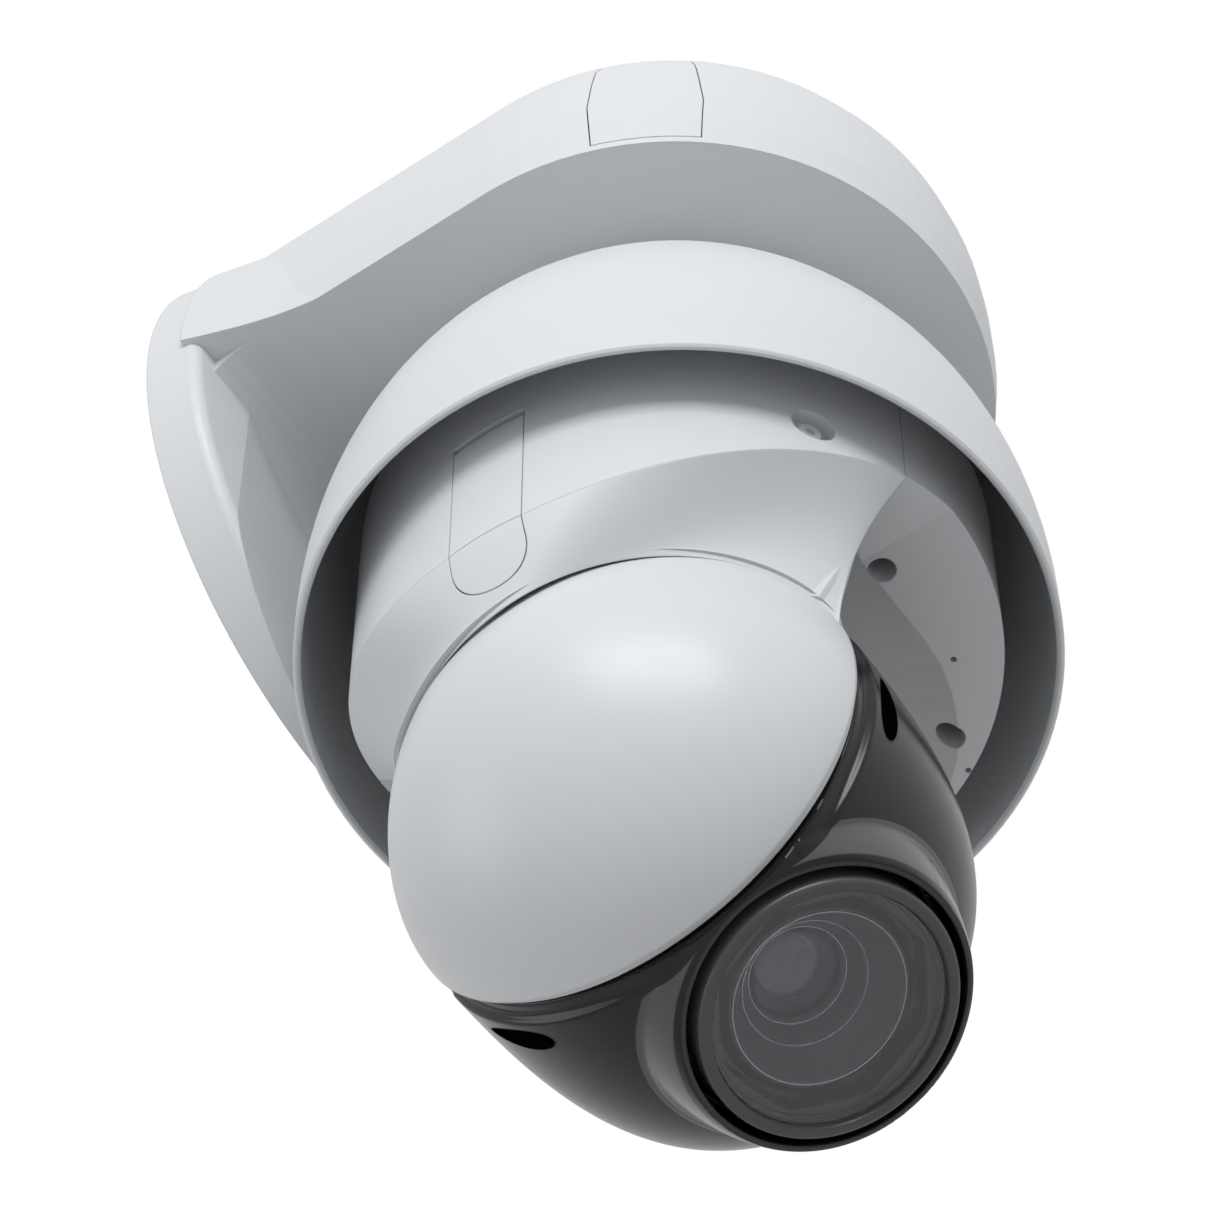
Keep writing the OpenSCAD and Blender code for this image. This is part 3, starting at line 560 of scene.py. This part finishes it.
# the cover's opening, cut out of the fairing
turns = [math.pi * k / 40 for k in range(41)]
arc = [(COVER_W * math.cos(a), COVER_END - COVER_W * math.sin(a)) for a in turns]
ring = [(COVER_W, 15.0), *arc, (-COVER_W, 15.0)]
cut_mesh = bpy.data.meshes.new("cover_cut")
n = len(ring)
cut_mesh.from_pydata([tuple(cad(x, y, z)) for y in (-110.0, -60.0) for x, z in ring], [],
                     [tuple(range(n)), tuple(range(2 * n - 1, n - 1, -1))]
                     + [(k, k + n, (k + 1) % n + n, (k + 1) % n) for k in range(n)])
shape = bmesh.new()
shape.from_mesh(cut_mesh)
bmesh.ops.recalc_face_normals(shape, faces=shape.faces)
shape.to_mesh(cut_mesh)
shape.free()
cutter = bpy.data.objects.new("cover_cut", cut_mesh)
scene.collection.objects.link(cutter)
cut = fairing.modifiers.new("opening", "BOOLEAN")
cut.object = cutter
cut.operation = "DIFFERENCE"
cut.solver = "MANIFOLD"
settle(fairing, 30.0, "pan_unit")
bpy.data.objects.remove(cutter)

COVER_GAP = 0.28
low = COVER_END - COVER_W + COVER_GAP
FLAP_END, FOOT_TOP = -40.1, -40.35
flap = [COVER_TOP + (FLAP_END - COVER_TOP) * i / 40 for i in range(41)]
foot = [FOOT_TOP + (COVER_END - FOOT_TOP) * i / 14 for i in range(15)]
foot += [COVER_END + (low - COVER_END) * math.sin(math.pi / 2 * i / 24) for i in range(1, 25)]


def cover_sheet(name, heights, thick, body):
    """A sheet that fills the opening over these heights and lies flush with the arm."""
    grid = []
    for z in heights:
        half = max(cover_half(z, COVER_GAP), 0.02)
        grid.append([Vector((half * k / 14, shell_y(half * k / 14, z), z)) for k in range(-14, 15)])
    return settle(solid_sheet(name, grid, thick), 24.0, body)


# The flap hinges. The rounded foot below the crease stays on the arm, so that the flap's edge can swing in
# behind it.
cover = cover_sheet("service_cover_formed", flap, 1.8, "service_cover")
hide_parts("service_cover")
cover_sheet("service_cover_foot", foot, 0.9, "pan_unit")

# the arm's sides widen smoothly into the wall flange
ARM_W, ARM_Z, FLANGE_R, FLANGE_Z, SPREAD = 95.3, 126.5, 107.0, 132.0, 52.0
sections = []
for i in range(41):
    x = -101.0 + SPREAD * i / 40
    mix = 1 - math.sin(math.pi / 2 * i / 40)
    row = []
    for k in range(73):
        a = math.radians(-3.0 + 186.0 * k / 72)
        disc = Vector((0, FLANGE_R * math.cos(a), FLANGE_Z + FLANGE_R * math.sin(a)))
        q = max(0.0, math.sin(a))
        flat = math.copysign(abs(math.cos(a)) ** 0.55, math.cos(a))
        arm = Vector((0, (ARM_W - 0.6) * flat, ARM_Z + 0.1 + 91.0 * q ** 0.75))
        point = arm.lerp(disc, mix)
        row.append(Vector((x, point.y, max(point.z, ARM_Z + 0.1))))
    sections.append([Vector((x, 60.0, ARM_Z + 0.1)), *row, Vector((x, -60.0, ARM_Z + 0.1))])
settle(solid_sheet("arm_spread", sections, 2.0), 30.0, "mount_base")

# domed cap, turned finely
rows = [math.sin(math.pi / 2 * i / 90) for i in range(91)]
profile = [(CAP_R * (1 - v ** CAP_N) ** (1 / CAP_N), CAP_H * v) for v in rows[:-1]] + [(0.02, CAP_H)]
dome = turned("dome_cap_turned", profile, cad(0, CAP_Y, TILT_Z), -SIDE, Vector((1, 0, 0)), M["cap"],
              "pan_unit", "housing_plastic")
inner = dome.modifiers.new("wall", "SOLIDIFY")
inner.thickness = 0.0024
inner.offset = -1.0
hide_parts("dome_cap")

# ---- stage ----

world = bpy.data.worlds.new("studio")
scene.world = world
world.use_nodes = True
wt = world.node_tree
wt.nodes.clear()
wcoord = wt.nodes.new("ShaderNodeTexCoord")
wsep = wt.nodes.new("ShaderNodeSeparateXYZ")
wramp = wt.nodes.new("ShaderNodeValToRGB")
wmap = wt.nodes.new("ShaderNodeMapRange")
wbg = wt.nodes.new("ShaderNodeBackground")
wout = wt.nodes.new("ShaderNodeOutputWorld")
wt.links.new(wcoord.outputs["Generated"], wsep.inputs[0])
wt.links.new(wsep.outputs["Z"], wmap.inputs["Value"])
wmap.inputs["From Min"].default_value = -1.0
wt.links.new(wmap.outputs["Result"], wramp.inputs["Fac"])
wt.links.new(wramp.outputs["Color"], wbg.inputs["Color"])
wt.links.new(wbg.outputs["Background"], wout.inputs["Surface"])
ramp = wramp.color_ramp
ramp.elements[0].position = 0.0
ramp.elements[0].color = (0.72, 0.76, 0.745, 1)
ramp.elements[1].position = 0.62
ramp.elements[1].color = (1, 1, 1, 1)
middle = ramp.elements.new(0.42)
middle.color = (0.78, 0.80, 0.81, 1)
wbg.inputs["Strength"].default_value = 0.72


def light(name, direction, distance, size, power, colour=(1, 1, 1)):
    data = bpy.data.lights.new(name, "AREA")
    data.shape = "RECTANGLE"
    data.size, data.size_y = size
    data.energy = power
    data.color = colour
    obj = bpy.data.objects.new(name, data)
    scene.collection.objects.link(obj)
    aim = Vector((0.09, 0.0, -0.12))
    obj.location = aim + Vector(direction).normalized() * distance
    obj.rotation_mode = "QUATERNION"
    obj.rotation_quaternion = Vector(direction).normalized().to_track_quat("Z", "Y")


light("key", (0.62, -1.0, 0.32), 1.7, (1.2, 0.7), 19)
light("side", (-0.9, -0.75, -0.15), 1.8, (0.9, 0.9), 4)

sky_mesh = bpy.data.meshes.new("sky")
ball = bmesh.new()
bmesh.ops.create_uvsphere(ball, u_segments=32, v_segments=16, radius=9.0)
ball.to_mesh(sky_mesh)
ball.free()
sky = bpy.data.objects.new("sky", sky_mesh)
scene.collection.objects.link(sky)
glow = bpy.data.materials.new("white_surround")
glow.use_nodes = True
glow.node_tree.nodes.clear()
shine = glow.node_tree.nodes.new("ShaderNodeEmission")
glow.node_tree.links.new(shine.outputs[0], glow.node_tree.nodes.new("ShaderNodeOutputMaterial").inputs[0])
sky_mesh.materials.append(glow)
sky.visible_diffuse = False
sky.visible_glossy = False
sky.visible_transmission = True
sky.visible_shadow = False

floor_mesh = bpy.data.meshes.new("floor")
floor_mesh.from_pydata([(-4, -4, -2.2), (4, -4, -2.2), (4, 4, -2.2), (-4, 4, -2.2)], [], [(0, 1, 2, 3)])
floor = bpy.data.objects.new("floor", floor_mesh)
scene.collection.objects.link(floor)
floor.data.materials.append(rough_black("pale_floor", (0.7, 0.7, 0.7), 0.8))

# ---- camera: below the object, looking up at it ----

AZ, EL, FAR = math.radians(35.15), math.radians(-55.27), 1.277
back = Vector((math.sin(AZ) * math.cos(EL), -math.cos(AZ) * math.cos(EL), math.sin(EL)))
cam = bpy.data.objects.new("camera", bpy.data.cameras.new("camera"))
scene.collection.objects.link(cam)
cam.data.sensor_width = 36.0
cam.data.lens = 133.44
cam.data.clip_start, cam.data.clip_end = 0.05, 20
cam.location = Vector((0.08915, 0.0, -0.080)) + back * FAR
right = Vector((math.cos(AZ), math.sin(AZ), 0))
cam.rotation_mode = "QUATERNION"
cam.rotation_quaternion = Matrix((right, back.cross(right), back)).transposed().to_quaternion()
scene.camera = cam

scene.view_settings.view_transform = "Standard"
scene.view_settings.look = "None"
